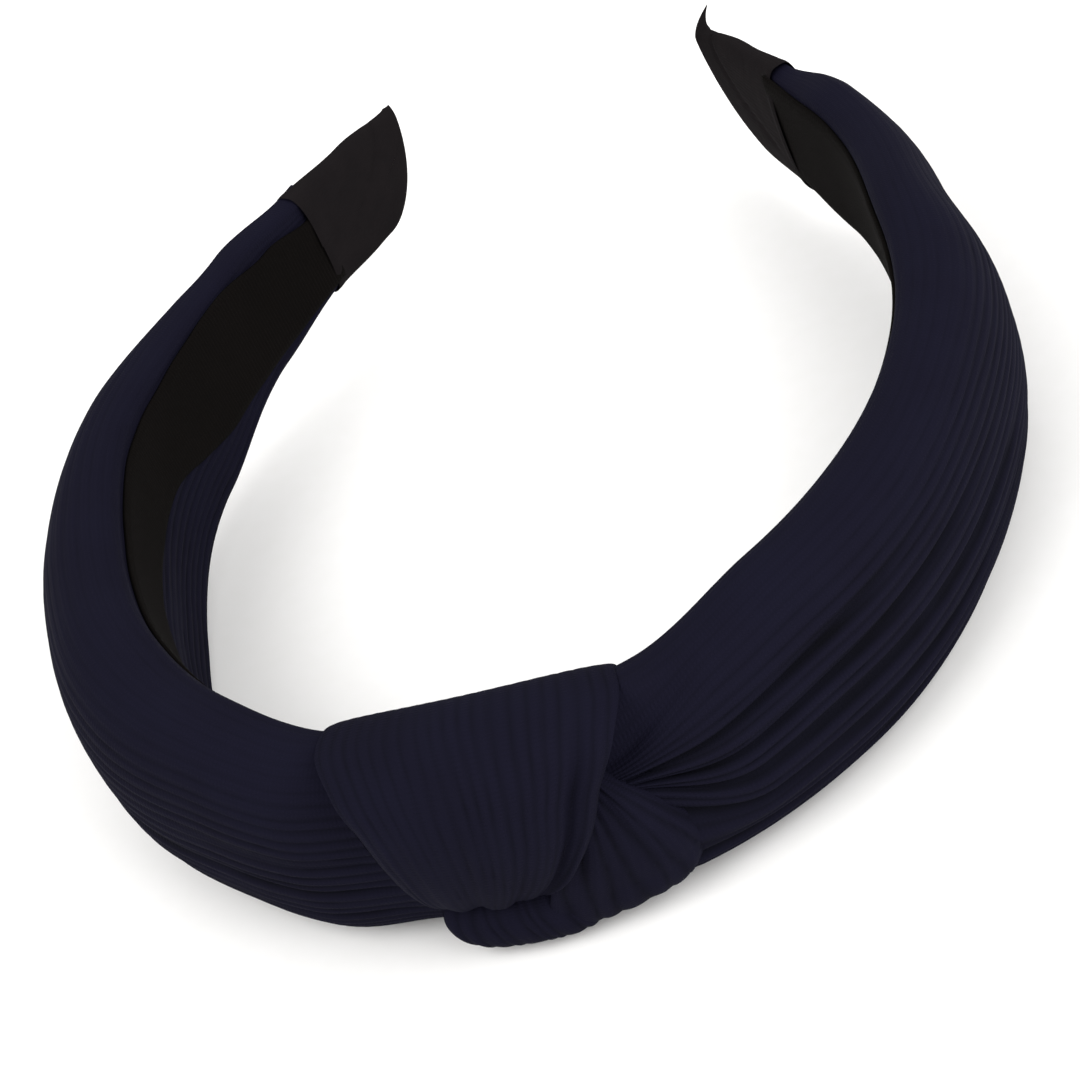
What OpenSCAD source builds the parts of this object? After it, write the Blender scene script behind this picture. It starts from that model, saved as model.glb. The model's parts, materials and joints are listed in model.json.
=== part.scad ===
// Knotted headband: a padded hard band, lying on its lower edge.
// Millimetres. +Z runs across the band's width, the knot faces -Y and the
// open end faces +Y. The origin is under the middle of the wearer's head,
// in the plane that the lower edge rests on.

/* [Outline of the plastic core, each side] */
// Radius of the arc over the crown
crown_r = 58; // [50:1:72]
// Angle that the crown arc turns through
crown_a = 52; // [44:1:58]
// Radius of the arc beside the head
side_r = 73; // [62:1:90]
// Angle that the side arc turns through
side_a = 46; // [40:1:50]
// Radius of the arc behind the ear
arm_r = 106; // [90:1:140]
// Angle that the ear arc turns through
arm_a = 17; // [12:1:20]
// Radius of the nearly straight tail
tail_r = 296; // [220:1:400]
// Angle that the tail turns through
tail_a = 10; // [7:1:12]

/* [Width of the band] */
// Half width where the cover leaves the knot
neck_half = 15.4; // [13:0.1:19]
// Half width at the widest place, beside the ear
side_half = 19.3; // [16:0.1:24]
// Half width where the cover meets the tip cap
tail_half = 12.3; // [9:0.1:15]
// Half width near the end of the tip cap
tip_half = 8; // [6:0.1:9]
// Distance along the core from the crown to the widest place
side_at = 110; // [90:1:120]

/* [Padding] */
// Height of the padded cover above the core beside the knot
neck_pad = 11; // [8:0.1:14]
// Height of the padded cover above the core beside the head
side_pad = 12.6; // [8:0.1:16]
// Height of the cover above the core where the padding has run out
tail_pad = 3; // [2.6:0.1:5]
// Distance along the core from the crown to the highest padding
pad_at = 88; // [70:1:100]
// Distance along the core from the crown to where the padding has run out
pad_end_at = 150; // [140:1:160]

/* [Layers] */
// Thickness of the plastic core
core_t = 1.8; // [1.4:0.1:2.4]
// Half width of the core over the crown
core_half = 11; // [8:0.5:11.5]
// Half width of the core at its end
core_tip_half = 4; // [3:0.5:5]
// Length of core that narrows towards its end
core_taper = 70; // [50:1:80]
// Thickness of the knitted cover
knit_t = 1; // [0.8:0.1:1.4]
// Thickness of the black liner ribbon
liner_t = 0.8; // [0.6:0.1:1.2]
// Distance from the cover's edge to the liner's edge
liner_in = 4.5; // [3:0.5:6]
// Thread of the stitches
thread_d = 0.5; // [0.4:0.1:0.6]
// Clearance between layers of one body
layer_gap = 0.12; // [0.1:0.01:0.2]

/* [Tip caps] */
// Length of the black cap over each end
cap_len = 26; // [20:1:32]
// Thickness of the cap at its mouth
cap_t = 5.6; // [5:0.1:7]
// Length of the pointed fold past the end of the cap
point_len = 6; // [3:0.5:9]
// Distance from the core's end to the cap's end
cap_tail = 5; // [4:0.5:7]

/* [Knot] */
// Distance along the core from the crown to each flexing place
flex_at = 16; // [14:0.5:18]
// Reach of the knot past each flexing place
knot_reach = 9; // [7:0.5:9.5]
// Gap between the knot and the padded arm at rest
arm_gap = 5; // [5:0.5:8]
// Half height of the knot across the band
knot_half = 19.3; // [16:0.1:24]
// Height of the knot's front above the core
knot_pad = 15; // [13:0.1:18]
// Thickness of the loop of cover that makes the knot
loop_t = 3.3; // [2.6:0.1:3.6]
// Thickness of the same cloth where it is flattened behind the core
back_t = 1.6; // [1.2:0.1:2]
// Radius of the core's knuckle at each flexing place
knuckle_r = 1.5; // [1.3:0.1:1.8]
// Wall round each knuckle
knuckle_wall = 1; // [0.8:0.1:1.3]
// Running clearance of each knuckle
knuckle_gap = 0.05; // [0.03:0.01:0.1]
// Opening movement of each arm, in degrees
open_a = 14; // [8:1:16]
// Closing movement of each arm, in degrees
close_a = 4; // [2:1:6]

/* [Resting edge] */
// Depth of the flat that the lower edge rests on
rest_cut = 0.3; // [0.2:0.05:0.5]
// Distance from the core at the crown to the middle of the head
head_y = 84; // [76:1:96]

/* [Hidden] */
navy = [0.118, 0.114, 0.173];
black = [0.09, 0.08, 0.075];
foam_white = [0.9, 0.88, 0.82];
core_grey = [0.25, 0.25, 0.27];
glue_amber = [0.8, 0.72, 0.5];

// The arcs as [radius, angle], and where each one begins along the core
arcs = [[crown_r, crown_a], [side_r, side_a], [arm_r, arm_a], [tail_r, tail_a]];
function arc_len(i) = arcs[i][0] * arcs[i][1] * PI / 180;
function start_s(i) = i == 0 ? 0 : start_s(i - 1) + arc_len(i - 1);
function start_h(i) = i == 0 ? 0 : start_h(i - 1) + arcs[i - 1][1];
function ray(h) = [sin(h), -cos(h)];
function centre(i) = i == 0
    ? [0, crown_r - head_y]
    : centre(i - 1) + (arcs[i - 1][0] - arcs[i][0]) * ray(start_h(i));
last = len(arcs) - 1;
core_end = start_s(last) + arc_len(last);
function arc_of(s, i = 0) = i >= last || s < start_s(i + 1) ? i : arc_of(s, i + 1);
function heading_in(s, i) = start_h(i) + (s - start_s(i)) / arcs[i][0] * 180 / PI;
function heading(s) = heading_in(s, arc_of(s));

// A place on the band: s along the core, n outwards from it, z up from mid height
mid_z = max(side_half, knot_half) - rest_cut;
function place_in(s, n, z, i) = let (p = centre(i) + (arcs[i][0] + n) * ray(heading_in(s, i)))
    [p[0], p[1], z + mid_z];
function place(s, n, z) = place_in(s, n, z, arc_of(s));

// Smooth change between [station, value] pairs
function ease(s, keys, i = 0) =
    s <= keys[0][0] ? keys[0][1]
    : i >= len(keys) - 1 ? keys[len(keys) - 1][1]
    : s > keys[i + 1][0] ? ease(s, keys, i + 1)
    : let (t = (s - keys[i][0]) / (keys[i + 1][0] - keys[i][0]))
        keys[i][1] + (keys[i + 1][1] - keys[i][1]) * (1 - cos(180 * t)) / 2;

knot_edge = flex_at + knot_reach;
arm_from = knot_edge + arm_gap;
cap_from = core_end - cap_len;
cap_to = core_end;
core_to = cap_to - cap_tail;
width_keys = [[knot_edge, neck_half], [side_at, side_half], [cap_from, tail_half]];
pad_keys = [[knot_edge, neck_pad], [pad_at, side_pad], [pad_end_at, tail_pad]];
function half(s) = ease(s, width_keys);
function pad(s) = ease(s, pad_keys);

core_in = -core_t / 2;
knit_in = core_in - layer_gap - knit_t;
thread_n = knit_in - layer_gap - thread_d / 2;
liner_out = knit_in - 2 * layer_gap - thread_d;
foam_in = core_t / 2 + layer_gap;

// A section of the padded band as [n, z] points: flat inside, domed outside
section_steps = 20;
function bow(v, p) = sign(v) * pow(abs(v), p);
function dee(n_in, n_out, n_rim, h) = let (soft = min(1.2, 0.4 * h, n_rim - n_in)) [
    for (k = [0:section_steps - 1]) let (a = 360 * k / section_steps, c = cos(a))
        c > -0.01 ? [n_rim + (n_out - n_rim) * bow(c, 0.85), h * bow(sin(a), 0.8)]
        : c > -0.5 ? [n_in + 0.25 * (n_rim - n_in), sign(sin(a)) * (h - 0.1 * soft)]
        : [n_in, (h - soft) * sin(a) / sin(126)]
];

// A closed solid through rings of points that all have the same number of points.
// An end is one flat face, or a strip of triangles between the first and second
// half of its ring where the ring isn't flat.
module loft(rings, strip = false) {
    m = len(rings[0]);
    top = (len(rings) - 1) * m;
    ends = strip
        ? [for (k = [0:m / 2 - 2]) let (far = m - 1 - k) each [
            [k + 1, k, far - 1], [k, far, far - 1],
            [top + k, top + k + 1, top + far - 1], [top + k, top + far - 1, top + far]
          ]]
        : [[for (k = [m - 1:-1:0]) k], [for (k = [0:m - 1]) top + k]];
    sides = [
        for (r = [0:len(rings) - 2], k = [0:m - 1]) let (a = r * m + k, b = r * m + (k + 1) % m)
            each [[a, b + m, a + m], [a, b, b + m]]
    ];
    polyhedron(points = [for (r = rings) each r], faces = concat(ends, sides), convexity = 6);
}
// Stations from s0 to s1, about step apart
function stations(s0, s1, step) = let (count = ceil((s1 - s0) / step))
    [for (k = [0:count]) s0 + (s1 - s0) * k / count];
function ring(s, points) = [for (p = points) place(s, p[0], p[1])];
module along(s0, s1, step, shape) {
    loft([for (s = stations(s0, s1, step)) ring(s, shape(s))]);
}
function bar(n0, n1, h) = [[n1, -h], [n1, h], [n0, h], [n0, -h]];

module above_rest() {
    intersection() {
        children();
        translate([-2 * crown_r - side_r, -2 * crown_r - side_r, 0])
            cube([4 * crown_r + 2 * side_r, 4 * crown_r + 2 * side_r + core_end, 4 * side_half]);
    }
}

// ---- plastic core ----
module core_arc(i, s0, s1, h) {
    h0 = heading_in(s0, i);
    translate([centre(i)[0], centre(i)[1], mid_z - h])
        rotate([0, 0, h0 - 90])
            rotate_extrude(angle = heading_in(s1, i) - h0, $fn = 180)
                translate([arcs[i][0] - core_t / 2, 0]) square([core_t, 2 * h]);
}
module at_flex() {
    translate([place(flex_at, 0, 0)[0], place(flex_at, 0, 0)[1], mid_z]) children();
}
taper_from = core_to - core_taper;
knuckle_h = 2 * core_half - 1;
function core_edge(s) = core_half
    - max(0, s - taper_from) * (core_half - core_tip_half) / core_taper;
module core_arm() {
    along(flex_at, core_to, 5, function(s) bar(core_in, -core_in, core_edge(s)));
    at_flex() cylinder(r = knuckle_r, h = knuckle_h, center = true, $fn = 64);
}
boss_r = knuckle_r + knuckle_gap + knuckle_wall;
module core_crown_half() {
    difference() {
        union() {
            core_arc(0, 0, flex_at - knuckle_r - knuckle_wall / 2, core_half);
            at_flex() cylinder(r = boss_r, h = 2 * core_half, center = true, $fn = 64);
        }
        at_flex() cylinder(r = knuckle_r + knuckle_gap, h = 2 * core_half + 2, center = true, $fn = 64);
        at_flex() core_way();
    }
}
// The way that the arm's core needs through the knuckle's wall, at every angle
module core_way() {
    way = core_t / 2 + 3 * knuckle_gap;
    rotate([0, 0, heading(flex_at)])
        linear_extrude(2 * core_half + 2, center = true)
            for (a = [-open_a - 1, 0, close_a + 1])
                rotate(a) translate([0, -way]) square([2 * boss_r, 2 * way]);
}
module core_crown() {
    color(core_grey) {
        core_crown_half();
        mirror([1, 0, 0]) core_crown_half();
    }
}

// ---- padding, cover and liner of one arm ----
module foam_arm() {
    along(arm_from, pad_end_at, 6, function(s)
        let (top = pad(s) - knit_t - layer_gap, h = half(s) - knit_t - 4 * layer_gap)
            dee(foam_in, max(top, foam_in + 0.6), foam_in + 0.3, h));
}
module cover_arm() {
    rim = core_t;
    above_rest() difference() {
        along(arm_from, cap_from - layer_gap, 6, function(s) dee(knit_in, pad(s), rim, half(s)));
        along(arm_from - 1, cap_from + 1, 6, function(s)
            dee(core_in - layer_gap, pad(s) - knit_t, rim, half(s) - knit_t));
    }
}
module liner_arm() {
    along(arm_from, cap_from - layer_gap, 6,
        function(s) bar(liner_out - liner_t, liner_out, half(s) - liner_in));
}
stitch_len = 3;
stitch_pitch = 9;
module seam_stitches_arm() {
    for (s = [arm_from + stitch_pitch:stitch_pitch:cap_from - stitch_pitch]) {
        p = place(s, thread_n, 0);
        translate(p) rotate([0, 0, heading(s)]) rotate([0, 90, 0])
            cylinder(d = thread_d, h = stitch_len, center = true, $fn = 16);
    }
}

// ---- tip cap of one arm ----
corner_at = cap_to - 14;
cap_steps = 12;
function cap_top(s) = ease(s, [[cap_from, tail_half], [cap_to, tip_half]]);
function cap_bottom(s) = s < corner_at
    ? -ease(s, [[cap_from, tail_half], [cap_to, tip_half]])
    : let (t = (s - corner_at) / (cap_to - corner_at), b = cap_top(corner_at))
        -b + (b + tip_half - 2) * (1 - sqrt(1 - t * t * 0.999));
function cap_thick(s) = ease(s, [[cap_from, cap_t], [cap_to, cap_t * 0.6]]);
function cap_section(s) = let (t = cap_thick(s) / 2, lo = cap_bottom(s), hi = cap_top(s))
    [for (p = dee(-t, t, 0, (hi - lo) / 2)) [p[0], p[1] + (hi + lo) / 2]];
point_base = tip_half - 1;
module cap_arm() {
    difference() {
        union() {
            loft([for (s = stations(cap_from, cap_to, cap_len / cap_steps)) ring(s, cap_section(s))]);
            loft([
                for (k = [0:4]) let (t = k / 4, r = 1.3 * (1 - t) + 0.25 * t)
                    ring(cap_to - 3 + (point_len + 3) * t,
                        [for (p = dee(-r, r, 0, r)) [p[0] + 1.5 * t * t, p[1] + point_base + 2 * t]])
            ]);
        }
        along(cap_from - 1, core_to + layer_gap, 3, function(s)
            bar(core_in - layer_gap, -core_in + layer_gap, core_edge(s) + layer_gap));
        along(core_to, core_to + 2, 1, function(s) bar(-glue_n - layer_gap, glue_n + layer_gap, glue_h));
    }
}
glue_n = 0.9;
glue_h = 3;
module glue_arm() {
    along(core_to + 2 * layer_gap, core_to + 1.9, 1, function(s) bar(-glue_n, glue_n, glue_h - layer_gap));
}

// ---- crown: padding, knot and liner ----
crown_stop = flex_at - boss_r - 1;
foam_top = 6;
module foam_crown() {
    color(foam_white) both_ways(crown_stop, function(s) bar(foam_in, foam_top, core_half + 1));
}
glue_t = 0.7;
module knot_glue_pad() {
    color(glue_amber)
        both_ways(crown_stop - 4, function(s)
            bar(foam_top + layer_gap, foam_top + layer_gap + glue_t, core_half - 4));
}
strand_from = foam_top + glue_t + 2 * layer_gap;
strand_top = knot_pad - loop_t - 1.6;
module knot_inner_strand() {
    z_top = core_half;
    z_low = -0.5 * core_half;
    color(navy)
        loft([for (s = stations(-crown_stop, 9, 3)) ring(s,
            [for (p = dee(strand_from, strand_top, strand_from + 1.2, (z_top - z_low) / 2))
                [p[0], p[1] + (z_top + z_low) / 2]])]);
}
liner_crown_out = core_in - boss_r - back_t - 2 * layer_gap;
module liner_crown() {
    color(black)
        both_ways(knot_edge - 1, function(s)
            bar(liner_crown_out - liner_t, liner_crown_out, neck_half - liner_in - 1));
}
// A loft from -s to +s across the middle of the crown
module both_ways(reach, shape) {
    loft([for (s = stations(-reach, reach, 4)) ring(s, shape(s))]);
}

// A strand of cloth wrapped round the band. Each key is
// [n, z, thickness, lowest s, highest s], and the cloth lies outside the [n, z] line.
cross_steps = 8;
function key_dir(keys, i) =
    let (a = keys[max(i - 1, 0)], b = keys[min(i + 1, len(keys) - 1)], d = [b[0] - a[0], b[1] - a[1]])
        [-d[1], d[0]] / norm(d);
function swell(u) = 0.55 + 0.45 * sqrt(max(0, 1 - pow(abs(u), 3)));
module wrap(keys) {
    loft([
        for (i = [0:len(keys) - 1]) let (k = keys[i], out = key_dir(keys, i))
            concat(
                [for (j = [0:cross_steps]) let (u = 2 * j / cross_steps - 1, t = k[2] * swell(u))
                    place(k[3] + (k[4] - k[3]) * (u + 1) / 2, k[0] + out[0] * t, k[1] + out[1] * t)],
                [for (j = [cross_steps:-1:0]) let (u = 2 * j / cross_steps - 1)
                    place(k[3] + (k[4] - k[3]) * (u + 1) / 2, k[0], k[1])]
            )
    ], strip = true);
}
back_n = core_in - boss_r + 0.5;
top_z = knot_half - loop_t;
front_n = knot_pad - loop_t;
edge = knot_edge - 0.5;
module knot_front_loop() {
    color(navy) wrap([
        [back_n, 9.5, back_t, -edge + 4, edge - 4],
        [back_n, top_z - 2, back_t, -edge + 1, edge - 3],
        [1, top_z, loop_t, -edge, edge - 2],
        [front_n - 5, top_z, loop_t, -edge, edge - 2],
        [front_n - 1.2, top_z - 5, loop_t, -edge + 2, edge - 4],
        [front_n, 4, loop_t, -edge + 5, edge - 10],
        [front_n - 0.5, -4, loop_t, -edge + 7, edge - 15],
        [front_n - 2, -9, loop_t - 0.6, -edge + 9, edge - 19],
        [front_n - 4.5, -13, loop_t - 1, -edge + 10, edge - 22]
    ]);
}
under_t = 2.6;
module knot_under_strand() {
    color(navy) above_rest() wrap([
        [front_n - 3.2, 3, under_t, 17, edge - 4],
        [front_n - 2, -4, under_t, 11.5, edge - 2],
        [front_n - 3, -11, under_t, 7, edge - 1],
        [front_n - 6.5, 0.8 - top_z, under_t + 0.6, 4, edge - 1],
        [1, -top_z, under_t + 0.6, 4, edge - 2],
        [back_n, 2 - top_z, back_t, 4, edge - 3],
        [back_n, -9.5, back_t, 5, edge - 5]
    ]);
}
fold_t = 3;
fold_z = fold_t + rest_cut - knot_half;
module knot_lower_fold() {
    color(navy) wrap([
        [front_n - 5, fold_z + 0.8, fold_t - 0.6, -13, 3.4],
        [front_n - 7.5, fold_z, fold_t, -14, 3.4],
        [1.5, fold_z, fold_t, -14, 3.4],
        [-1.2, fold_z + 0.6, fold_t - 0.4, -14, 3.4],
        [back_n, fold_z + 3, back_t, -14, 3.4],
        [back_n, -9.5, back_t, -12, 3.4]
    ]);
}
module knot_back_wrap() {
    color(navy)
        both_ways(knot_edge - 6, function(s) bar(back_n - back_t, back_n, 9.5 - layer_gap));
}
module knot_tack_stitches() {
    color(navy)
        for (s = [-15:6:15]) {
            p = place(s, back_n - back_t - layer_gap - thread_d / 2, 11.5);
            translate(p) rotate([35, 0, heading(abs(s)) * sign(s)]) rotate([0, 90, 0])
                cylinder(d = thread_d, h = stitch_len, center = true, $fn = 16);
        }
}

// ---- the two arms ----
module core_left_arm() { color(core_grey) mirror([1, 0, 0]) core_arm(); }
module foam_left() { color(foam_white) mirror([1, 0, 0]) foam_arm(); }
module cover_left() { color(navy) mirror([1, 0, 0]) cover_arm(); }
module liner_left() { color(black) mirror([1, 0, 0]) liner_arm(); }
module tip_cap_left() { color(black) mirror([1, 0, 0]) cap_arm(); }
module tip_glue_left() { color(glue_amber) mirror([1, 0, 0]) glue_arm(); }
module seam_stitches_left() { color(navy) mirror([1, 0, 0]) seam_stitches_arm(); }
module core_right_arm() { color(core_grey) core_arm(); }
module foam_right() { color(foam_white) foam_arm(); }
module cover_right() { color(navy) cover_arm(); }
module liner_right() { color(black) liner_arm(); }
module tip_cap_right() { color(black) cap_arm(); }
module tip_glue_right() { color(glue_amber) glue_arm(); }
module seam_stitches_right() { color(navy) seam_stitches_arm(); }

core_crown();
foam_crown();
knot_inner_strand();
knot_front_loop();
knot_under_strand();
knot_lower_fold();
knot_back_wrap();
liner_crown();
knot_glue_pad();
knot_tack_stitches();
core_left_arm();
foam_left();
cover_left();
liner_left();
tip_cap_left();
tip_glue_left();
seam_stitches_left();
core_right_arm();
foam_right();
cover_right();
liner_right();
tip_cap_right();
tip_glue_right();
seam_stitches_right();
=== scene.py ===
import json
import math

import bmesh
import bpy
from bpy.props import FloatProperty, FloatVectorProperty, IntProperty, PointerProperty
from mathutils import Matrix, Vector, noise


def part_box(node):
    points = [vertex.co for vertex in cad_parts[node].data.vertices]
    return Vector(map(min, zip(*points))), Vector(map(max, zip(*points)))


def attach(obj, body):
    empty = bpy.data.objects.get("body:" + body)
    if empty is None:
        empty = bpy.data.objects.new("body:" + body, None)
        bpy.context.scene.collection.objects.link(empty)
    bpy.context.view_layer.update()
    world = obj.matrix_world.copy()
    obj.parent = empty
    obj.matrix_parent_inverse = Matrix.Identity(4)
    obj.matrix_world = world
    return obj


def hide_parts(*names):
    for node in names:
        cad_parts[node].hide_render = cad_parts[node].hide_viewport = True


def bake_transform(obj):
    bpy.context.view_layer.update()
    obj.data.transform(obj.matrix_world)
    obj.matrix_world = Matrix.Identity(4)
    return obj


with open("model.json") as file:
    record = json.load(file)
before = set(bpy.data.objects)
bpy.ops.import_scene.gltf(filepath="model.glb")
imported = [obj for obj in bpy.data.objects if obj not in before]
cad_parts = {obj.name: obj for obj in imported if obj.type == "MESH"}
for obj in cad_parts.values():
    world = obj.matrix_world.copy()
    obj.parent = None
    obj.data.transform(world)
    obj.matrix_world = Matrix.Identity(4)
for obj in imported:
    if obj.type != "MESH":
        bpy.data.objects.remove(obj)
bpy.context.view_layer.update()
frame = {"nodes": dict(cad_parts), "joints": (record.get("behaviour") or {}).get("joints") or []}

bl_info = {
    "name": "Knotted headband",
    "version": (1, 0, 0),
    "blender": (4, 5, 0),
    "location": "3D View > Sidebar > Headband",
    "description": "Builds the cloth, padding, ribbon and thread of a knotted headband on its packed frame",
    "category": "Object",
}

MM = 0.001
LEFT, RIGHT = -1, 1
SIDE_NAMES = {LEFT: "left", RIGHT: "right"}


def linear(code):
    """An sRGB hex colour as linear red, green, blue and alpha."""
    parts = [int(code[k:k + 2], 16) / 255 for k in (1, 3, 5)]
    return tuple(c / 12.92 if c <= 0.04045 else ((c + 0.055) / 1.055) ** 2.4 for c in parts) + (1.0,)


def colour(name, text, code):
    return FloatVectorProperty(name=name, description=text, default=linear(code), subtype="COLOR", size=4,
                               min=0, max=1)


def length(name, text, mm):
    return FloatProperty(name=name, description=text, default=mm * MM, min=0, unit="LENGTH", precision=5)


def turn(name, text, degrees):
    return FloatProperty(name=name, description=text, default=math.radians(degrees), subtype="ANGLE")


class HeadbandSizes(bpy.types.PropertyGroup):
    """Sizes of the outline, the cover and its ribs"""
    crown_radius: length("Crown radius", "Radius of the core's arc over the crown", 58)
    crown_turn: turn("Crown turn", "Angle that the crown arc turns through on each side", 52)
    side_radius: length("Side radius", "Radius of the core's arc beside the head", 73)
    side_turn: turn("Side turn", "Angle that the side arc turns through", 46)
    ear_radius: length("Ear radius", "Radius of the core's arc behind the ear", 106)
    ear_turn: turn("Ear turn", "Angle that the ear arc turns through", 17)
    tail_radius: length("Tail radius", "Radius of the nearly straight tail", 296)
    tail_turn: turn("Tail turn", "Angle that the tail turns through", 10)
    core_thickness: length("Core thickness", "Thickness of the plastic core", 1.8)
    knit_thickness: length("Knit thickness", "Thickness of the ribbed knit", 1)
    cap_length: length("Cap length", "Length of the ribbon cap over each end", 26)
    rib_height: length("Rib height", "Height of one rib of the knit above its valley", 0.5)
    arm_ribs: IntProperty(name="Ribs round an arm", description="Ribs of the knit round one arm's cover",
                          default=46, min=20, max=70)
    blend_to: length("Bending length", "Distance along the core over which an arm's cloth bends", 88)


class HeadbandColours(bpy.types.PropertyGroup):
    """Colours of the cloth, the ribbon and what is inside"""
    navy: colour("Navy", "Dyed knit on the crest of a rib", "#12111D")
    # Painted shade: the colour painted into the valleys between ribs, into creases and into the thread's
    # twist grooves
    painted_valley_navy: colour("Deep navy", "Dyed knit down between two ribs", "#09090E")
    ribbon: colour("Ribbon", "Black liner ribbon", "#0F0D0C")
    cap: colour("Cap", "Black ribbon of the tip caps", "#161415")
    foam: colour("Foam", "Polyurethane foam padding", "#E4DFCF")
    core: colour("Core", "Moulded plastic core", "#3A3A3E")
    glue: colour("Glue", "Set hot-melt glue", "#D8C79A")
    floor: colour("Floor", "Paper floor of the stage", "#F4F3F1")


# ---- the band's own coordinates: s along the core, n outwards from it, z up from mid height, in mm ----

def smooth(t):
    t = min(1.0, max(0.0, t))
    return t * t * (3 - 2 * t)


def ease(s, keys):
    """Smooth change between (station, value) pairs."""
    if s <= keys[0][0]:
        return keys[0][1]
    for (s0, v0), (s1, v1) in zip(keys, keys[1:]):
        if s <= s1:
            return v0 + (v1 - v0) * smooth((s - s0) / (s1 - s0))
    return keys[-1][1]


def through(t, rows):
    """A smooth curve through rows of numbers, for t from 0 to 1."""
    at = min(max(t, 0.0), 1.0) * (len(rows) - 1)
    k = min(int(at), len(rows) - 2)
    f = at - k
    a, b, c, d = (rows[min(max(k + j, 0), len(rows) - 1)] for j in (-1, 0, 1, 2))
    return [
        0.5 * (2 * q + (r - p) * f + (2 * p - 5 * q + 4 * r - w) * f * f
               + (3 * q - p - 3 * r + w) * f ** 3)
        for p, q, r, w in zip(a, b, c, d)]


def bulge(x, power):
    """A sine or cosine raised to a power, with its sign kept. A low power squares a section's corners."""
    return math.copysign(abs(x) ** power, x)


class Band:
    """The core's outline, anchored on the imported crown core."""

    def __init__(self, sizes):
        low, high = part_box("core_crown")
        half_core = sizes.core_thickness / MM / 2
        head_y = -low.y / MM - half_core
        self.middle = (low.z + high.z) / 2 / MM
        self.arcs = []
        centre = Vector((0, sizes.crown_radius / MM - head_y))
        start, heading, last_radius = 0.0, 0.0, sizes.crown_radius / MM
        for radius, angle in (
            (sizes.crown_radius, sizes.crown_turn), (sizes.side_radius, sizes.side_turn),
            (sizes.ear_radius, sizes.ear_turn), (sizes.tail_radius, sizes.tail_turn),
        ):
            radius = radius / MM
            centre = centre + (last_radius - radius) * self.ray(heading)
            self.arcs.append((start, heading, radius, centre))
            start += radius * angle
            heading += angle
            last_radius = radius
        self.end = start
        self.cap_from = self.end - sizes.cap_length / MM
        self.places = {}

    @staticmethod
    def ray(heading):
        return Vector((math.sin(heading), -math.cos(heading)))

    def station(self, s):
        """The arc's centre, radius and outward direction at a station, s below 0 being the left side."""
        key = round(s, 5)
        if key not in self.places:
            far = abs(s)
            start, heading, radius, centre = [arc for arc in self.arcs if arc[0] <= far][-1]
            out = self.ray(heading + (far - start) / radius)
            side = -1 if s < 0 else 1
            self.places[key] = (Vector((side * centre.x, centre.y)), radius, Vector((side * out.x, out.y)))
        return self.places[key]

    def place(self, s, n, z):
        """A point in metres in the object's frame."""
        centre, radius, out = self.station(s)
        flat = centre + (radius + n + ease(abs(s), DRIFTS[LEFT if s < 0 else RIGHT])) * out
        return Vector((flat.x * MM, flat.y * MM, (z + self.middle) * MM))


_bands = {}


def band():
    """The band of this scene's sizes, worked out once."""
    if "now" not in _bands:
        _bands["now"] = Band(bpy.context.scene.headband_sizes)
    return _bands["now"]


# ---- sections of the padded cover, by side, as (station, mm) pairs ----

# The cover's upper and lower edges, and how far its padding stands out
TOPS = {
    LEFT: ((22, 14.2), (40, 16.4), (70, 18.2), (100, 18.8), (150, 15.2), (168, 13)),
    RIGHT: ((22, 14.8), (42, 18.4), (80, 17.4), (110, 17.2), (150, 13.8), (168, 10.8)),
}
BOTTOMS = {
    LEFT: ((18, -18.8), (50, -18.9), (88, -18.6), (125, -13.5), (150, -8.4), (168, -6.8)),
    RIGHT: ((24, -17.8), (60, -18.4), (110, -18.6), (150, -14), (168, -12.8)),
}
PADS = {
    LEFT: ((20, 12.4), (35, 12.8), (55, 14.8), (82, 14), (115, 10.4), (150, 4), (168, 2.4)),
    RIGHT: ((20, 12.2), (45, 11.8), (80, 10.8), (104, 11.6), (128, 8.6), (152, 6.8), (168, 2.4)),
}
# How far the real band has sprung out of the symmetrical outline
DRIFTS = {
    LEFT: ((60, 0), (88, -0.8), (115, 0.2), (145, 0.3), (194, 0.4)),
    RIGHT: ((90, 0), (116, -0.5), (150, 2.4), (194, 3.6)),
}
# How far out the cover lies along its seam and at its upper and lower edges
SEAM_LEVEL = -2.0
EDGE_LEVEL = 2.4
# Where the right cover dives in between the loop and the under strand: how far out, and how high
CREVICE = (9.5, 4.6)
# Stations where the cover starts at its seam, and at its front under the knot
SEAM_FROM = 20
FRONT_FROM = {LEFT: 10, RIGHT: 10.5}
# How far the cover runs on under the cap
UNDER_CAP = 2


def section(side, s, a, inset=0.0):
    """The cover's outside at angle a round the band: 0 is outermost, and pi is the seam inside."""
    top, bottom = ease(s, TOPS[side]) - inset, ease(s, BOTTOMS[side]) + inset
    pad = ease(s, PADS[side]) - inset
    inner = SEAM_LEVEL + inset
    edge = max(min(EDGE_LEVEL, 0.45 * pad), inner + 0.3)
    c = math.cos(a)
    if c >= 0:
        n = edge + (pad - edge) * c ** 0.85
    else:
        n = edge - (edge - inner) * math.sqrt(smooth(-c / 0.6))
    half, mid = (top - bottom) / 2, (top + bottom) / 2
    return n, mid + half * bulge(math.sin(a), 0.8)


def around_lookup(side, s, count):
    """Angles at equal steps of length round the cover, starting and ending at the seam."""
    points = [section(side, s, -math.pi + 2 * math.pi * k / count) for k in range(count + 1)]
    lengths = [0.0]
    for p, q in zip(points, points[1:]):
        lengths.append(lengths[-1] + math.dist(p, q))
    total = lengths[-1]
    table, k = [], 0
    for j in range(count + 1):
        want = total * j / count
        while k < count - 1 and lengths[k + 1] < want:
            k += 1
        part = (want - lengths[k]) / max(1e-9, lengths[k + 1] - lengths[k])
        table.append(-math.pi + 2 * math.pi * (k + part) / count)
    return table, total


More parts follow.
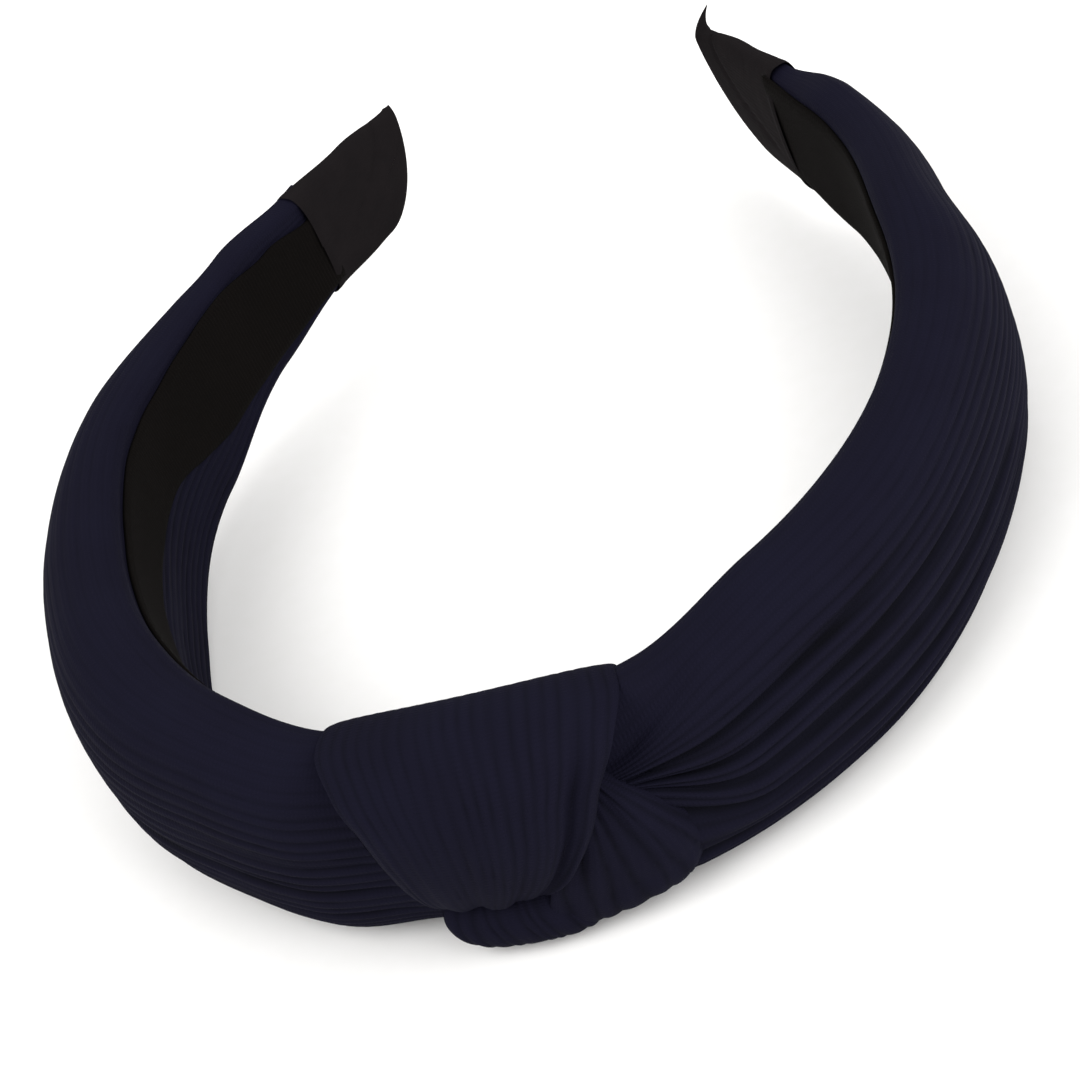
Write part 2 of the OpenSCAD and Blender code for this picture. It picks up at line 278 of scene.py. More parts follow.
class Cover:
    """One arm's padded cover: where each point of its cloth lies."""

    def __init__(self, side, sizes):
        self.side = side
        self.ribs = sizes.arm_ribs
        self.rib_height = sizes.rib_height / MM
        self.angles, self.round = around_lookup(side, 100, 720)
        self.to = band().cap_from + UNDER_CAP
        self.length = self.to - SEAM_FROM
        self.puffs = None
        self.pleats = PLEATS[side]

    def angle(self, u):
        at = min(max(u, 0.0), 1.0) * (len(self.angles) - 1)
        k = min(int(at), len(self.angles) - 2)
        return self.angles[k] + (self.angles[k + 1] - self.angles[k]) * (at - k)

    def station(self, a, v):
        """Under the knot the front of the cover reaches further in than its back."""
        in_front = smooth((math.cos(a) + 0.55) / 0.6)
        start = SEAM_FROM + (FRONT_FROM[self.side] - SEAM_FROM) * in_front
        return start + (self.to - start) * v

    def bare(self, u, v):
        """Station, distance out and height of a point of the cover, without its ribs. Near the knot the
        cloth is drawn in, and on the right it is drawn together towards the crevice."""
        a = self.angle(u)
        s = self.station(a, v)
        n, z = section(self.side, s, a)
        front = smooth(0.5 + math.cos(a))
        if self.side == RIGHT:
            pull = smooth((30 - s) / 17) * front * smooth((z + 13) / 9)
            n += (CREVICE[0] - 2.5 - n) * pull * 0.55
            z += (CREVICE[1] - z) * pull * 0.85 * smooth((math.cos(a) - 0.02) / 0.35)
            n -= 3 * smooth((19 - s) / 7) * front * smooth((-z - 2) / 5)
        else:
            pull = smooth((26 - s) / 14) * front
            n -= 2.6 * pull
            z += (-6 - z) * pull * 0.04
        return s, n, z

    def rib(self, u, v, s):
        """Height of the knit above the bottom of its valleys, from 0 to 1, and how strong the ribs are."""
        wander = 0.35 * noise.noise(Vector((u * 9, v * 5, 4.0 + self.side)))
        wander += 0.12 * noise.noise(Vector((u * 30, v * 14, 9.0)))
        phase = u * self.ribs + wander
        crest = abs(math.cos(math.pi * phase)) ** 0.75
        own = 0.72 + 0.5 * noise.noise(Vector((math.floor(phase + 0.5) * 1.7, v * 3.5, 2.0)))
        a = self.angle(u)
        smooth_top = 1 - 0.72 * smooth((a - 0.35) / 0.8) * (1 - smooth((a - 2.2) / 0.5))
        strength = own * smooth_top * (0.45 + 0.55 * smooth((150 - s) / 40))
        return crest, max(0.1, min(1.2, strength))

    def crease(self, u, s):
        """Depth of the long creases that leave the knot, in mm."""
        deep = 0.0
        for at, bend, width, depth, to in self.pleats:
            fade = smooth((to - s) / 26) * smooth((s - 11) / 8)
            away = (u - at - bend * (s - 24) / 100) / width
            deep += depth * fade * math.exp(-away * away)
        return deep

    def point(self, u, v, ribbed=True):
        """Station, distance out and height of a point of the finished cover."""
        s, n, z = self.bare(u, v)
        step = 0.004
        before, after = self.bare(max(0, u - step), v), self.bare(min(1, u + step), v)
        out = Vector((after[2] - before[2], before[1] - after[1]))
        out = out.normalized() if out.length > 1e-9 else Vector((1, 0))
        lift = 0.0
        if ribbed:
            crest, strength = self.rib(u, v, s)
            lift = self.rib_height * strength * (crest - 1) - self.crease(u, s)
        if self.puffs is not None:
            puff = self.puffs(u, v)
            s, n, z = s + puff.x, n + puff.y, z + puff.z
        n, z = n + out.x * lift, z + out.y * lift
        return s, n, max(z, on_floor())

    def tone(self, u, v):
        """Painted shade of the knit: the crest of a rib is 1, and a valley or a deep crease is painted dark,
        near 0.
        """
        s = self.bare(u, v)[0]
        crest, strength = self.rib(u, v, s)
        light = 1 - (1 - crest) * min(1.0, strength)
        return max(0.0, light - 0.8 * self.crease(u, s))


def on_floor():
    """The lowest height that cloth may have, just clear of the floor."""
    return 0.02 - band().middle


# Long creases by side: place round the cover, drift, width, depth in mm, and the station where each one ends
PLEATS = {
    LEFT: ((0.47, 0.02, 0.010, 0.5, 70), (0.40, -0.02, 0.009, 0.5, 62), (0.54, 0.05, 0.009, 0.35, 56)),
    RIGHT: (
        (0.36, -0.05, 0.011, 0.8, 92), (0.42, -0.03, 0.010, 0.9, 108),
        (0.48, -0.01, 0.011, 1.0, 98), (0.535, 0.03, 0.010, 1.1, 84),
        (0.59, 0.06, 0.011, 1.0, 66),
    ),
}


# ---- making meshes ----

def new_piece(name, bm):
    mesh = bpy.data.meshes.new(name)
    bm.to_mesh(mesh)
    bm.free()
    for face in mesh.polygons:
        face.use_smooth = True
    piece = bpy.data.objects.new(name, mesh)
    bpy.context.scene.collection.objects.link(piece)
    return piece


def shaped_grid(across, along, spot, cloth, closed=False, ends=False, value=None):
    """A grid with each vertex moved to spot(u, v). cloth is its flat size in metres, which its UV map has.
    closed joins the u edges, ends fills the two v ends, and value(u, v) goes into the attribute "rib", which
    holds painted shade: it darkens the valleys and creases of the knit."""
    bm = bmesh.new()
    bmesh.ops.create_grid(bm, x_segments=across, y_segments=along, size=0.5, calc_uvs=True)
    uv = bm.loops.layers.uv.verify()
    store = bm.verts.layers.float.new("rib")
    for face in bm.faces:
        for loop in face.loops:
            x, y = loop.vert.co.x + 0.5, loop.vert.co.y + 0.5
            loop[uv].uv = (x * cloth[0], y * cloth[1])
    for vert in bm.verts:
        u, v = vert.co.x + 0.5, vert.co.y + 0.5
        vert[store] = value(u, v) if value else 1.0
        vert.co = spot(u, v)
    if closed:
        bmesh.ops.remove_doubles(bm, verts=bm.verts, dist=1e-7)
    if ends:
        rim = [edge for edge in bm.edges if edge.is_boundary]
        bmesh.ops.holes_fill(bm, edges=rim, sides=0)
    bmesh.ops.recalc_face_normals(bm, faces=bm.faces)
    return bm


def thicken(piece, thickness, offset=-1.0):
    """Gives a single layer of cloth its thickness, inwards unless offset says otherwise."""
    wall = piece.modifiers.new("Cloth thickness", "SOLIDIFY")
    wall.thickness = thickness
    wall.offset = offset
    wall.use_even_offset = False
    apply(piece, wall)


def apply(piece, modifier):
    with bpy.context.temp_override(object=piece, active_object=piece, selected_objects=[piece]):
        bpy.ops.object.modifier_apply(modifier=modifier.name)


def finish(piece, material):
    piece.data.materials.clear()
    piece.data.materials.append(material)
    return piece


def on_arm(piece, side):
    """Looks up the arm's hinge and the point where its cloth would start to bend, then bakes the piece's
    transform into its mesh; the piece is neither turned with the arm nor bent.
    """
    joint = next(j for j in frame["joints"] if j["child"] == SIDE_NAMES[side] + "_arm")
    hinge = Vector(joint["pos_m"])
    far = band().place(side * bpy.context.scene.headband_sizes.blend_to / MM, 0, 0)
    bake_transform(piece)


# ---- cloth: the cover settles over its padding ----

CAGE_AROUND, CAGE_ALONG = 40, 44
# The cage is this many times life size, because the solver suits large cloth
CAGE_SCALE = 10.0
SETTLE_FRAMES = 20
# The furthest that a point of the cloth may move, in mm
PUFF_LIMIT = 0.9


def settle(cover):
    """Blows a coarse cage of the cover out like a stuffed tube, held along the liner and at both ends, and
    gives each point's movement in mm as a function of its place on the cloth."""
    def at(u, v):
        s, n, z = cover.point(u, v, ribbed=False)
        return band().place(cover.side * s, n, z) * CAGE_SCALE

    bm = shaped_grid(CAGE_AROUND, CAGE_ALONG, at, (1, 1))
    held = []
    bm.verts.ensure_lookup_table()
    rows = CAGE_AROUND + 1
    outermost = bm.verts[rows * (CAGE_ALONG // 2) + CAGE_AROUND // 2]
    if outermost.normal.dot(band().station(cover.side * 90)[2].to_3d()) < 0:
        bmesh.ops.reverse_faces(bm, faces=bm.faces)
    for index in range(len(bm.verts)):
        u, v = (index % rows) / CAGE_AROUND, (index // rows) / CAGE_ALONG
        a = abs(cover.angle(u))
        if a > 2.0 or v < 0.12 or v > 0.93:
            held.append(index)
    cage = new_piece("settling_cage", bm)
    rest = [v.co.copy() for v in cage.data.vertices]
    pins = cage.vertex_groups.new(name="held")
    pins.add(held, 1.0, "REPLACE")
    cloth = cage.modifiers.new("Settle", "CLOTH")
    settings = cloth.settings
    settings.quality = 5
    settings.mass = 0.3
    settings.tension_stiffness = settings.compression_stiffness = 12
    settings.shear_stiffness = 5
    settings.bending_stiffness = 0.6
    settings.use_pressure = True
    settings.uniform_pressure_force = 2.0
    settings.vertex_group_mass = pins.name
    settings.effector_weights.gravity = 0
    cloth.collision_settings.use_collision = False
    for number in range(1, SETTLE_FRAMES + 1):
        bpy.context.scene.frame_set(number)
    settled = cage.evaluated_get(bpy.context.evaluated_depsgraph_get())
    moved = [v.co - r for v, r in zip(settled.data.vertices, rest)]
    bpy.context.scene.frame_set(1)
    offsets = []
    for index, shift in enumerate(moved):
        u, v = (index % rows) / CAGE_AROUND, (index // rows) / CAGE_ALONG
        s = cover.bare(u, v)[0]
        out = band().station(cover.side * s)[2]
        along = Vector((-out.y, out.x)) * cover.side
        shift = shift / CAGE_SCALE / MM
        local = Vector((shift.xy.dot(along), shift.xy.dot(out), shift.z))
        offsets.append(local / (1 + local.length / PUFF_LIMIT))
    bpy.data.objects.remove(cage)

    def puff(u, v):
        x, y = min(max(u, 0), 1) * CAGE_AROUND, min(max(v, 0), 1) * CAGE_ALONG
        i, j = min(int(x), CAGE_AROUND - 1), min(int(y), CAGE_ALONG - 1)
        f, g = x - i, y - j
        near = offsets[j * rows + i].lerp(offsets[j * rows + i + 1], f)
        far = offsets[(j + 1) * rows + i].lerp(offsets[(j + 1) * rows + i + 1], f)
        return near.lerp(far, g)
    return puff


# ---- materials ----

# Sockets of a node that mixes colours: its other kinds have sockets of the same names
FACTOR, FIRST, SECOND, MIXED = 0, 6, 7, 2


def add(tree, kind, inputs=(), **settings):
    """Adds a node with its settings. An input is a value, or another node's output socket."""
    made = tree.nodes.new(kind)
    for key, value in settings.items():
        setattr(made, key, value)
    for name, value in dict(inputs).items():
        if isinstance(value, bpy.types.NodeSocket):
            tree.links.new(value, made.inputs[name])
        else:
            made.inputs[name].default_value = value
    return made


def finish_of(name, **plain):
    """A material and its node tree, with the shader's uniform values set on its own sockets."""
    material = bpy.data.materials.new(name)
    material.use_nodes = True
    shader = material.node_tree.nodes["Principled BSDF"]
    for key, value in plain.items():
        shader.inputs[key.replace("_", " ")].default_value = value
    return material, material.node_tree


def dressed(material, base, relief=None):
    """The material, with its shader linked to the nodes that give it its colour and its relief."""
    tree = material.node_tree
    shader = tree.nodes["Principled BSDF"]
    tree.links.new(base.outputs[MIXED], shader.inputs["Base Color"])
    if relief:
        tree.links.new(relief.outputs[0], shader.inputs["Normal"])
    return material


def wave_scale(pitch_mm):
    """Scale of a wave texture whose bands have a real pitch: at scale 1 it is 2 pi / 20 of a unit."""
    return 2 * math.pi / 20 / (pitch_mm * MM)


def navy_rib_knit(hues):
    """Polyester rib knit, piece dyed navy. Matt, with a faint nap that catches light on the crests, and with
    painted shade, nearly black, in the valleys between the ribs and in the creases."""
    material, tree = finish_of(
        "navy_rib_knit", Roughness=0.8, Sheen_Weight=0.008, Sheen_Roughness=0.4,
        Sheen_Tint=linear("#8A8CB4"), Specular_IOR_Level=0.02, IOR=1.5)
    place = add(tree, "ShaderNodeTexCoord")
    rib = add(tree, "ShaderNodeAttribute", attribute_name="rib")
    # Wales of the knit run along the band 0.7 mm apart, and courses of stitches cross them every 0.5 mm
    wales, courses = (
        add(tree, "ShaderNodeTexWave", {
            "Vector": place.outputs["UV"], "Scale": wave_scale(pitch), "Distortion": wander, "Detail": 1.0,
        }, bands_direction=direction)
        for pitch, wander, direction in ((0.7, 1.0, "X"), (0.5, 1.6, "Y")))
    stitch = add(tree, "ShaderNodeMath", {0: wales.outputs["Fac"], 1: courses.outputs["Fac"]},
                 operation="MULTIPLY")
    # Painted shade: the rib attribute mixes the painted valley navy into the valleys and creases
    crest = add(tree, "ShaderNodeMapRange", {
        "Value": rib.outputs["Fac"], "From Min": 0.1, "From Max": 0.95})
    dyed = add(tree, "ShaderNodeMix", {
        FACTOR: crest.outputs[0], FIRST: hues.painted_valley_navy, SECOND: hues.navy}, data_type="RGBA")
    # The dye is uneven in patches of about 11 mm
    mottle = add(tree, "ShaderNodeTexNoise", {
        "Vector": place.outputs["Object"], "Scale": 90.0, "Detail": 3.0})
    uneven = add(tree, "ShaderNodeMapRange", {
        "Value": mottle.outputs["Fac"], "From Min": 0.35, "From Max": 0.7, "To Max": 0.3})
    mottled = add(tree, "ShaderNodeMix", {
        FACTOR: uneven.outputs[0], FIRST: dyed.outputs[MIXED], SECOND: linear("#151523")}, data_type="RGBA")
    # Painted shade: the hollows between stitches are darkened towards #0B0B12
    groove_shade = add(tree, "ShaderNodeMapRange", {
        "Value": stitch.outputs[0], "From Max": 0.5, "To Min": 0.14, "To Max": 0.0})
    knit = add(tree, "ShaderNodeMix", {
        FACTOR: groove_shade.outputs[0], FIRST: mottled.outputs[MIXED], SECOND: linear("#0B0B12")}, data_type="RGBA")
    bump = add(tree, "ShaderNodeBump", {
        "Height": stitch.outputs[0], "Strength": 0.35, "Distance": 0.12 * MM})
    return dressed(material, knit, bump)


def black_grosgrain(hues):
    """Black grosgrain ribbon, glued flat. Close cross ribs take the shine off it, and dust lightens it."""
    material, tree = finish_of(
        "black_grosgrain", Roughness=0.85, Sheen_Weight=0.004, Sheen_Roughness=0.4,
        Specular_IOR_Level=0.01, IOR=1.5)
    place = add(tree, "ShaderNodeTexCoord")
    # Cross ribs 0.7 mm apart, and warp threads 0.35 mm
    ribs, warp = (
        add(tree, "ShaderNodeTexWave", {
            "Vector": place.outputs["UV"], "Scale": wave_scale(pitch), "Distortion": wander, "Detail": 1.0,
        }, bands_direction=direction)
        for pitch, wander, direction in ((0.7, 0.3, "Y"), (0.35, 0.8, "X")))
    weave = add(tree, "ShaderNodeMath", {0: ribs.outputs["Fac"], 1: warp.outputs["Fac"], 2: 0.25},
                operation="MULTIPLY_ADD")
    # Dust in patches of about 17 mm
    mottle = add(tree, "ShaderNodeTexNoise", {
        "Vector": place.outputs["Object"], "Scale": 60.0, "Detail": 4.0})
    dust = add(tree, "ShaderNodeMapRange", {
        "Value": mottle.outputs["Fac"], "From Min": 0.4, "From Max": 0.75, "To Max": 0.35})
    black = add(tree, "ShaderNodeMix", {
        FACTOR: dust.outputs[0], FIRST: hues.ribbon, SECOND: linear("#151211")}, data_type="RGBA")
    # Painted shade: the grooves between the cross ribs are darkened towards #080707
    groove_shade = add(tree, "ShaderNodeMapRange", {"Value": ribs.outputs["Fac"], "To Min": 0.45, "To Max": 0.0})
    ribbon = add(tree, "ShaderNodeMix", {
        FACTOR: groove_shade.outputs[0], FIRST: black.outputs[MIXED], SECOND: linear("#080707")}, data_type="RGBA")
    bump = add(tree, "ShaderNodeBump", {
        "Height": weave.outputs[0], "Strength": 0.5, "Distance": 0.15 * MM})
    return dressed(material, ribbon, bump)


def black_satin(hues):
    """Black satin ribbon folded over the ends. Long floats give it a low, even gloss, with soft wrinkles."""
    material, tree = finish_of(
        "black_satin", Roughness=0.75, Specular_IOR_Level=0.006, IOR=1.5)
    place = add(tree, "ShaderNodeTexCoord")
    # Satin threads are 0.3 mm apart, and are drawn twice as coarse so that they show
    threads = add(tree, "ShaderNodeTexWave", {
        "Vector": place.outputs["UV"], "Scale": wave_scale(0.6), "Distortion": 0.5, "Detail": 1.0})
    # Wrinkles about 4.5 mm apart
    wrinkles = add(tree, "ShaderNodeTexNoise", {
        "Vector": place.outputs["Object"], "Scale": 220.0, "Detail": 2.0, "Distortion": 0.6})
    # Painted shade and highlight: the wrinkles' hollows are painted darker and their tops lighter
    black = add(tree, "ShaderNodeMix", {
        FACTOR: wrinkles.outputs["Fac"], FIRST: hues.cap, SECOND: linear("#1B1819")}, data_type="RGBA")
    fine = add(tree, "ShaderNodeBump", {
        "Height": threads.outputs["Fac"], "Strength": 0.3, "Distance": 0.08 * MM})
    bump = add(tree, "ShaderNodeBump", {
        "Height": wrinkles.outputs["Fac"], "Strength": 0.35, "Distance": 0.6 * MM, "Normal": fine.outputs[0]})
    return dressed(material, black, bump)


def cut_foam(hues):
    """Open-cell polyurethane foam, cut from sheet. Chalky, full of pores 0.5 to 1 mm across."""
    material, tree = finish_of("cut_foam", Roughness=0.95, Specular_IOR_Level=0.2, IOR=1.5)
    place = add(tree, "ShaderNodeTexCoord")
    # A cell every 0.8 mm
    pores = add(tree, "ShaderNodeTexVoronoi", {"Vector": place.outputs["Object"], "Scale": 1 / (0.8 * MM)})
    # Painted shade: the inside of each pore is darkened towards #B7AF98
    deep = add(tree, "ShaderNodeMapRange", {"Value": pores.outputs["Distance"], "From Max": 0.6})
    foam = add(tree, "ShaderNodeMix", {
        FACTOR: deep.outputs[0], FIRST: linear("#B7AF98"), SECOND: hues.foam}, data_type="RGBA")
    bump = add(tree, "ShaderNodeBump", {
        "Height": pores.outputs["Distance"], "Strength": 0.6, "Distance": 0.3 * MM})
    return dressed(material, foam, bump)


def moulded_abs(hues):
    """Injection-moulded ABS. Smooth with a fine spark-eroded texture and faint flow marks."""
    material, tree = finish_of("moulded_abs", Roughness=0.42, IOR=1.53)
    place = add(tree, "ShaderNodeTexCoord")
    # Mould texture with grains of 0.6 mm, and flow marks about 22 mm apart
    grain = add(tree, "ShaderNodeTexNoise", {
        "Vector": place.outputs["Object"], "Scale": 1 / (0.6 * MM), "Detail": 2.0})
    flow = add(tree, "ShaderNodeTexNoise", {
        "Vector": place.outputs["Object"], "Scale": 45.0, "Detail": 2.0, "Distortion": 1.5})
    plastic = add(tree, "ShaderNodeMix", {
        FACTOR: flow.outputs["Fac"], FIRST: hues.core, SECOND: linear("#45454A")}, data_type="RGBA")
    bump = add(tree, "ShaderNodeBump", {
        "Height": grain.outputs["Fac"], "Strength": 0.2, "Distance": 0.08 * MM})
    return dressed(material, plastic, bump)


def hot_melt_glue(hues):
    """Hot-melt glue, pressed while soft. Waxy amber, cloudy inside, with a rippled skin."""
    material, tree = finish_of(
        "hot_melt_glue", Roughness=0.35, IOR=1.48, Subsurface_Weight=0.3, Subsurface_Scale=0.003)
    place = add(tree, "ShaderNodeTexCoord")
    # Ripples about 2 mm apart
    ripple = add(tree, "ShaderNodeTexNoise", {
        "Vector": place.outputs["Object"], "Scale": 1 / (2 * MM), "Detail": 3.0})
    # Painted shade and highlight: the ripples' hollows are painted darker and their tops paler
    wax = add(tree, "ShaderNodeMix", {
        FACTOR: ripple.outputs["Fac"], FIRST: hues.glue, SECOND: linear("#EADFBE")}, data_type="RGBA")
    bump = add(tree, "ShaderNodeBump", {
        "Height": ripple.outputs["Fac"], "Strength": 0.5, "Distance": 0.4 * MM})
    return dressed(material, wax, bump)


def polyester_thread(hues):
    """Three-ply polyester sewing thread, navy, with a slight lustre along its twist."""
    material, tree = finish_of(
        "polyester_thread", Roughness=0.6, Sheen_Weight=0.02, Specular_IOR_Level=0.1, IOR=1.5)
    place = add(tree, "ShaderNodeTexCoord")
    # The twist repeats every 0.5 mm
    twist = add(tree, "ShaderNodeTexWave", {
        "Vector": place.outputs["UV"], "Scale": wave_scale(0.5), "Detail": 0.0}, bands_direction="DIAGONAL")
    # Painted shade: the grooves of the twist take the painted valley navy
    ply = add(tree, "ShaderNodeMix", {
        FACTOR: twist.outputs["Fac"], FIRST: hues.painted_valley_navy, SECOND: hues.navy}, data_type="RGBA")
    bump = add(tree, "ShaderNodeBump", {
        "Height": twist.outputs["Fac"], "Strength": 0.5, "Distance": 0.1 * MM})
    return dressed(material, ply, bump)


def white_paper(hues):
    """Matt white paper, rolled out as a floor."""
    material, tree = finish_of("white_paper", Roughness=0.9, Specular_IOR_Level=0.2)
    place = add(tree, "ShaderNodeTexCoord")
    # Clouds of fibres about 3 mm across
    fibre = add(tree, "ShaderNodeTexNoise", {
        "Vector": place.outputs["Object"], "Scale": 300.0, "Detail": 2.0})
    paper = add(tree, "ShaderNodeMix", {
        FACTOR: fibre.outputs["Fac"], FIRST: hues.floor, SECOND: linear("#F7F6F5")}, data_type="RGBA")
    return dressed(material, paper)


FINISHES = {make.__name__: make for make in (
    navy_rib_knit, black_grosgrain, black_satin, cut_foam, moulded_abs, hot_melt_glue, polyester_thread,
    white_paper)}


def finish_named(name):
    found = bpy.data.materials.get(name)
    return found or FINISHES[name](bpy.context.scene.headband_colours)


# ---- strands of the knot ----

def strand(name, rows, ribs, along, skew=0.0, edge_roll=0.0, cells=6, tuck=0.0, depth=1.0):
    """A folded strand of cloth round the band. skew is how many ribs it twists by, edge_roll how high the
    roll along its edge stands, cells the faces across a rib, tuck how far the edge with the highest s dips
    under its neighbour, and depth scales the ribs and the shade painted into their valleys."""
    rib_height = bpy.context.scene.headband_sizes.rib_height / MM
    across = ribs * cells // 2 * 4

    def width_at(u):
        """Place across the strand from -1 to 1, and whether it is on the outer side."""
        q = u * 2 if u < 0.5 else 2 - u * 2
        return -math.cos(math.pi * (0.7 * q + 0.3 * smooth(q))), u < 0.5

    def rib_at(u, v):
        w = width_at(u)[0]
        phase = (w + 1) / 2 * ribs - skew * v
        phase += 0.6 * noise.noise(Vector((w * 3, v * 2.5, ribs)))
        return abs(math.cos(math.pi * phase)) ** 0.75, phase

    def local(u, v):
        w, outer = width_at(u)
        n, z, thick, s_low, s_high, arch = through(v, rows)
        ahead, behind = through(v + 0.01, rows), through(v - 0.01, rows)
        out = Vector((behind[1] - ahead[1], ahead[0] - behind[0])).normalized()
        s = s_low + (s_high - s_low) * (w + 1) / 2
        body = thick / 2 * math.sqrt(max(0.0, 1 - abs(w) ** 3.5))
        lift = thick / 2 + (body if outer else -body)
        if outer:
            crest, phase = rib_at(u, v)
            pitch = (s_high - s_low) / ribs
            # Ribs squeezed to 0.4 mm are pressed flat, and those drawn over the upper rim are stretched
            strength = smooth((pitch - 0.4) / 0.9) * (1 - abs(w) ** 10)
            strength *= 0.7 + 0.9 * noise.noise(Vector((math.floor(phase + 0.5) * 1.3, v * 2, 3)))
            strength *= 1 - 0.75 * smooth((z - 11) / 4)
            lift += depth * rib_height * max(0.1, strength) * (crest - 1)
            soft = smooth((13 - z) / 4) * smooth((z + 14) / 4)
            lift += 0.6 * soft * noise.noise(Vector((w * 4.5, v * 1.6, ribs + 7.0)))
            roll = math.exp(-((w - 0.9) / 0.055) ** 2) - 0.9 * math.exp(-((w - 0.76) / 0.05) ** 2)
            lift += edge_roll * roll * smooth((0.97 - v) / 0.2) * smooth((v - 0.34) / 0.15)
        lift -= tuck * smooth((w - 0.45) / 0.6)
        z -= arch * s * s
        return s, n + out.x * lift, max(z + out.y * lift, on_floor())

    # Painted shade: the valleys of the outer face are darkened, and the whole inner face is painted at 0.6
    def tone(u, v):
        return 1 - 0.8 * depth * (1 - rib_at(u, v)[0]) if u < 0.5 else 0.6

    bm = shaped_grid(across, along, lambda u, v: band().place(*local(u, v)), STRAND_CLOTH, closed=True,
                     ends=True, value=tone)
    return new_piece(name, bm)


# The cloth of one strand laid flat, in metres
STRAND_CLOTH = (0.044, 0.05)

# The strands from end to end. Each row holds how far out and how high the strand's inner face lies, its
# thickness, its lowest and highest station, and its arch: the height falls by the arch times s squared
LOOP = (
    (-3.0, 8.6, 1.3, -20, 20.2, 0.0), (-3.1, 12.2, 1.5, -21.4, 20.6, 0.004),
    (-0.5, 15.3, 2.4, -21.2, 20.2, 0.006), (4.5, 15.9, 2.8, -19.4, 19.4, 0.006),
    (9.2, 13.8, 3.2, -15.6, 16.8, 0.004), (11.2, 9.2, 3.5, -13.2, 13.6, 0.0),
    (11.7, 3.6, 3.4, -12.2, 11, 0.0), (11.0, -2.3, 3.1, -11.6, 7.6, 0.0),
    (9.4, -6.6, 2.7, -11, 4, 0.0), (6.8, -10.0, 2.0, -10.4, 1.8, 0.0),
)
UNDER = (
    (8.2, 7.0, 1.4, 10, 14, 0.0), (9.6, 2.6, 2.4, 8, 18, 0.0), (10.0, -3.6, 2.8, 5, 21.5, 0.0),
    (9.6, -9.5, 3.0, 2.4, 23, -0.004), (8.2, -14.8, 3.0, 1, 22.8, -0.008),
    (2.4, -16.4, 2.6, 1, 22.6, -0.007), (-2.95, -13.2, 1.4, 0, 22, 0.0), (-2.95, -8.8, 1.3, 0, 21.5, 0.0),
)
FOLD = (
    (6.4, -8.0, 1.6, -9.4, 3, 0.0), (9.4, -11.8, 2.5, -10.6, 4.6, 0.0), (8.8, -15.2, 2.9, -8.6, 6.4, 0.0),
    (3.4, -16.6, 2.6, -7, 6, 0.0), (-1.4, -15.9, 2.2, -17, 5, 0.0), (-2.95, -12.8, 1.4, -21.5, 6, 0.0),
    (-2.95, -8.8, 1.3, -21.5, 6, 0.0),
)
INSIDE = (
    (-2.2, 11.4, 0.8, -18, 20, 0.0), (0.2, 13.6, 1.2, -18, 20, 0.003), (5.2, 12.6, 1.8, -15, 18.4, 0.0),
    (7.4, 9.2, 2.4, -12, 14.6, 0.0), (7.6, 3, 2.8, -10.6, 12.4, 0.0), (7.4, -4, 2.8, -10, 13, 0.0),
    (5.6, -10.4, 2.4, -11, 15, 0.0), (1, -13.4, 1.6, -14, 18, 0.0), (-2.2, -11.4, 0.8, -18, 20, 0.0),
)
BACK = (
    (-3.1, -9.2, 1.3, -17, 17, 0.0), (-3.2, -4, 1.4, -18.6, 18.6, 0.0), (-3.2, 4, 1.4, -18.6, 18.6, 0.0),
    (-3.1, 9.0, 1.3, -17, 17, 0.0),
)


class SettleCovers(bpy.types.Operator):
    """Makes the ribbed knit cover of each arm, settled over its padding"""
    bl_idname = "headband.covers"
    bl_label = "Knit covers"

    def execute(self, context):
        sizes = context.scene.headband_sizes
        for side, name in SIDE_NAMES.items():
            cover = Cover(side, sizes)
            cover.puffs = settle(cover)

            def spot(u, v):
                s, n, z = cover.point(u, v)
                return band().place(side * s, n, z)

            # Six faces across each rib
            bm = shaped_grid(6 * cover.ribs, 124, spot, (cover.round * MM, cover.length * MM), closed=True,
                             value=cover.tone)
            piece = new_piece(f"cover_{name}_knit", bm)
            thicken(piece, sizes.knit_thickness * 0.9)
            finish(piece, finish_named("navy_rib_knit"))
            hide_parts(f"cover_{name}")
            on_arm(piece, side)
        return {"FINISHED"}


# Stations where an arm's foam starts and ends, and where the crown's foam ends on each side
PAD_FROM, PAD_TO = 30, 150
CROWN_PAD_TO = 12.4
# Room between the cover's inside and the foam, in mm
PAD_ROOM = 0.9


class MakePadding(bpy.types.Operator):
    """Makes the foam inside each arm and over the crown"""
    bl_idname = "headband.padding"
    bl_label = "Foam padding"

    def execute(self, context):
        sizes = context.scene.headband_sizes
        core_half = sizes.core_thickness / MM / 2
        for side, name in SIDE_NAMES.items():
            cover = Cover(side, sizes)

            def spot(u, v):
                s = PAD_FROM + (PAD_TO - PAD_FROM) * v
                a = math.pi * (2 * u - 1)
                n, z = section(side, s, a, inset=sizes.knit_thickness / MM + PAD_ROOM)
                soft = 0.12 * noise.noise(Vector((u * 14, v * 30, side)))
                return band().place(side * s, max(n, core_half + 0.15) + soft * (n > 3), z)

            bm = shaped_grid(64, 72, spot, (cover.round * MM, 0.12), closed=True, ends=True)
            piece = new_piece(f"foam_{name}_pad", bm)
            finish(piece, finish_named("cut_foam"))
            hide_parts(f"foam_{name}")
            on_arm(piece, side)

        def crown_spot(u, v):
            a = math.pi * (2 * u - 1)
            n = 3.5 + 2.4 * bulge(math.cos(a), 0.5)
            z = 11.8 * bulge(math.sin(a), 0.6)
            return band().place(CROWN_PAD_TO * (2 * v - 1), n, z)

        bm = shaped_grid(48, 24, crown_spot, (0.056, 0.025), closed=True, ends=True)
        piece = new_piece("foam_crown_pad", bm)
        finish(piece, finish_named("cut_foam"))
        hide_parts("foam_crown")
        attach(piece, "crown")
        return {"FINISHED"}


